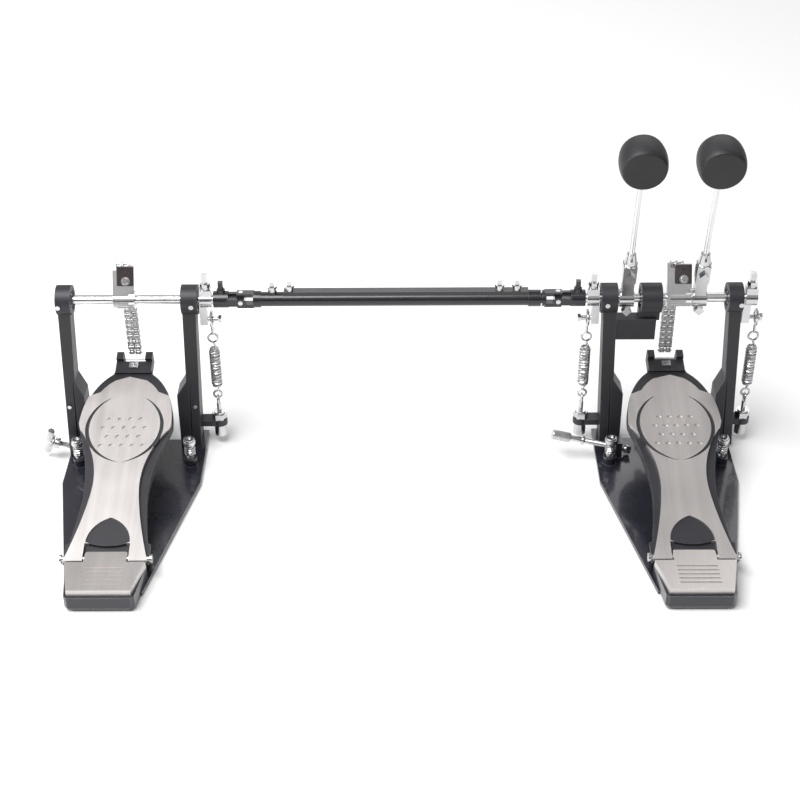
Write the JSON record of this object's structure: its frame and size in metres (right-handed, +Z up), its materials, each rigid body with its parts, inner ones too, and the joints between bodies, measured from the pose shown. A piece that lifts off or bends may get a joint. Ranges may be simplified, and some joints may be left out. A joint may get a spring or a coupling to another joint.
{
  "type": "double bass drum pedal",
  "caption": "Double bass drum pedal: two footboards drive chains and sprung axles joined by a telescopic linkage, striking with paired beaters.",
  "frame": {"origin": "on the floor, under the middle of the whole pedal's outline", "axes": "+X along the axles from the second unit to the main unit, +Y towards the drum, +Z up; the drummer sits at -Y"},
  "size_m": [0.771, 0.3244, 0.378],
  "materials": {
    "rubber_pad": "matt",
    "gloss_black": "gloss powder coat",
    "black_casting": "satin powder coat",
    "brushed_plate": "fine satin brush",
    "dark_bearing": "dark steel",
    "black_linkage": "black anodised",
    "beater_black": "matt black",
    "chain_steel": "bright",
    "polished_steel": "polished",
    "chrome_hardware": "bright plate"
  },
  "bodies": {
    "main_frame": {"pad_main": "rubber_pad", "base_main": "gloss_black", "heel_block_main": "gloss_black", "heel_plate_main": "brushed_plate", "hinge_pin_main": "chrome_hardware", "post_inner_main": "black_casting", "post_outer_main": "black_casting", "bearings_main": "dark_bearing", "hardware_main": "chrome_hardware", "hoop_anvil": "black_casting"},
    "main_board": {"board_frame_main": "black_casting", "board_plate_main": "brushed_plate", "toe_clamp_main": "chrome_hardware"},
    "main_axle": {"axle_main": "polished_steel", "cam_main": "polished_steel", "chain_wrap_main": "chain_steel", "clamps_main": "chrome_hardware"},
    "main_chain": {"chain_run_main": "chain_steel"},
    "main_beater": {"beater_rod_main": "polished_steel", "beater_head_main": "beater_black"},
    "link_axle": {"axle_link": "polished_steel", "clamps_link": "chrome_hardware", "yoke_main": "black_linkage", "cross_main": "chrome_hardware", "drive_rod": "black_linkage"},
    "link_beater": {"beater_rod_link": "polished_steel", "beater_head_link": "beater_black"},
    "main_spring": {"spring_main": "chrome_hardware"},
    "main_stirrup": {"stirrup_main": "chrome_hardware"},
    "link_spring": {"spring_link": "chrome_hardware"},
    "link_stirrup": {"stirrup_link": "chrome_hardware"},
    "jaw": {"hoop_jaw": "black_casting"},
    "jaw_screw": {"hoop_screw": "chrome_hardware"},
    "spur_1": {"spur_main_in": "chrome_hardware"},
    "spur_2": {"spur_main_out": "chrome_hardware"},
    "slave_frame": {"pad_slave": "rubber_pad", "base_slave": "gloss_black", "heel_block_slave": "gloss_black", "heel_plate_slave": "brushed_plate", "hinge_pin_slave": "chrome_hardware", "post_inner_slave": "black_casting", "post_outer_slave": "black_casting", "bearings_slave": "dark_bearing", "hardware_slave": "chrome_hardware"},
    "slave_board": {"board_frame_slave": "black_casting", "board_plate_slave": "brushed_plate", "toe_clamp_slave": "chrome_hardware"},
    "slave_axle": {"axle_slave": "polished_steel", "cam_slave": "polished_steel", "chain_wrap_slave": "chain_steel", "lever_slave": "chrome_hardware", "yoke_slave": "black_linkage", "drive_tube": "black_linkage", "tube_screws": "chrome_hardware"},
    "slave_chain": {"chain_run_slave": "chain_steel"},
    "slave_spring": {"spring_slave": "chrome_hardware"},
    "slave_stirrup": {"stirrup_slave": "chrome_hardware"},
    "slave_screw": {"side_screw": "chrome_hardware"},
    "spur_3": {"spur_slave_in": "chrome_hardware"},
    "spur_4": {"spur_slave_out": "chrome_hardware"}
  },
  "joints": [
    {"name": "linkage_length", "type": "slide", "parent": "main_frame", "child": "slave_frame", "axis": [-1, 0, 0], "range_m": [0, 0.08]},
    {"name": "main_pedal", "type": "hinge", "parent": "main_frame", "child": "main_board", "pos_m": [0.289, -0.1092, 0.022], "axis": [-1, 0, 0], "range_deg": [0, 6.5], "stiffness_Nm_per_rad": 14, "springref_deg": -6.88},
    {"name": "main_axle_turn", "type": "hinge", "parent": "main_frame", "child": "main_axle", "pos_m": [0.289, 0.1168, 0.183], "axis": [-1, 0, 0], "range_deg": [0, 46]},
    {"name": "main_chain_bend", "type": "hinge", "parent": "main_axle", "child": "main_chain", "pos_m": [0.289, 0.15089, 0.19729], "axis": [1, 0, 0], "range_deg": [0, 50]},
    {"name": "slave_pedal", "type": "hinge", "parent": "slave_frame", "child": "slave_board", "pos_m": [-0.289, -0.1092, 0.022], "axis": [-1, 0, 0], "range_deg": [0, 6.5], "stiffness_Nm_per_rad": 14, "springref_deg": -6.88},
    {"name": "slave_axle_turn", "type": "hinge", "parent": "slave_frame", "child": "slave_axle", "pos_m": [-0.289, 0.1168, 0.183], "axis": [-1, 0, 0], "range_deg": [0, 46]},
    {"name": "slave_chain_bend", "type": "hinge", "parent": "slave_axle", "child": "slave_chain", "pos_m": [-0.289, 0.15089, 0.19729], "axis": [1, 0, 0], "range_deg": [0, 50]},
    {"name": "link_axle_turn", "type": "hinge", "parent": "main_frame", "child": "link_axle", "pos_m": [0.246, 0.1168, 0.183], "axis": [-1, 0, 0], "range_deg": [0, 46]},
    {"name": "main_spring_swing", "type": "hinge", "parent": "main_frame", "child": "main_spring", "pos_m": [0.3745, 0.1168, 0.0605], "axis": [1, 0, 0], "range_deg": [0, 10]},
    {"name": "main_spring_stretch", "type": "slide", "parent": "main_spring", "child": "main_stirrup", "axis": [0, 0, 1], "range_m": [0, 0.0095]},
    {"name": "link_spring_swing", "type": "hinge", "parent": "main_frame", "child": "link_spring", "pos_m": [0.1975, 0.1168, 0.0605], "axis": [1, 0, 0], "range_deg": [0, 10]},
    {"name": "link_spring_stretch", "type": "slide", "parent": "link_spring", "child": "link_stirrup", "axis": [0, 0, 1], "range_m": [0, 0.0095]},
    {"name": "slave_spring_swing", "type": "hinge", "parent": "slave_frame", "child": "slave_spring", "pos_m": [-0.1975, 0.1168, 0.0605], "axis": [1, 0, 0], "range_deg": [0, 10]},
    {"name": "slave_spring_stretch", "type": "slide", "parent": "slave_spring", "child": "slave_stirrup", "axis": [0, 0, 1], "range_m": [0, 0.0095]},
    {"name": "main_beater_height", "type": "slide", "parent": "main_axle", "child": "main_beater", "axis": [0, -0.1736, 0.9848], "range_m": [-0.012, 0.012]},
    {"name": "link_beater_height", "type": "slide", "parent": "link_axle", "child": "link_beater", "axis": [0, -0.1736, 0.9848], "range_m": [-0.012, 0.012]},
    {"name": "jaw_screw_turn", "type": "hinge", "parent": "main_frame", "child": "jaw_screw", "pos_m": [0.234, 0.0828, 0.015], "axis": [0.9703, 0, -0.2419], "range_deg": [0, 330]},
    {"name": "jaw_rock", "type": "hinge", "parent": "main_frame", "child": "jaw", "pos_m": [0.286, 0.1202, 0.022], "axis": [1, 0, 0], "range_deg": [0, 11]},
    {"name": "side_screw_turn", "type": "hinge", "parent": "slave_frame", "child": "slave_screw", "pos_m": [-0.352, 0.0868, 0.0145], "axis": [-0.9613, 0, 0.2756], "range_deg": [-180, 180]},
    {"name": "spur_1_height", "type": "slide", "parent": "main_frame", "child": "spur_1", "axis": [0, 0, 1], "range_m": [0, 0.006]},
    {"name": "spur_2_height", "type": "slide", "parent": "main_frame", "child": "spur_2", "axis": [0, 0, 1], "range_m": [0, 0.006]},
    {"name": "spur_3_height", "type": "slide", "parent": "slave_frame", "child": "spur_3", "axis": [0, 0, 1], "range_m": [0, 0.006]},
    {"name": "spur_4_height", "type": "slide", "parent": "slave_frame", "child": "spur_4", "axis": [0, 0, 1], "range_m": [0, 0.006]}
  ],
  "couplings": [
    {"joint": "main_axle_turn", "follows": "main_pedal", "ratio": 7},
    {"joint": "main_chain_bend", "follows": "main_pedal", "ratio": 7.5},
    {"joint": "slave_axle_turn", "follows": "slave_pedal", "ratio": 7},
    {"joint": "slave_chain_bend", "follows": "slave_pedal", "ratio": 7.5},
    {"joint": "link_axle_turn", "follows": "slave_pedal", "ratio": 7},
    {"joint": "main_spring_swing", "follows": "main_pedal", "ratio": 1.43},
    {"joint": "main_spring_stretch", "follows": "main_pedal", "m_per_rad": 0.0758},
    {"joint": "link_spring_swing", "follows": "slave_pedal", "ratio": 1.43},
    {"joint": "link_spring_stretch", "follows": "slave_pedal", "m_per_rad": 0.0758},
    {"joint": "slave_spring_swing", "follows": "slave_pedal", "ratio": 1.43},
    {"joint": "slave_spring_stretch", "follows": "slave_pedal", "m_per_rad": 0.0758},
    {"joint": "jaw_rock", "follows": "jaw_screw_turn", "ratio": 0.033333}
  ]
}
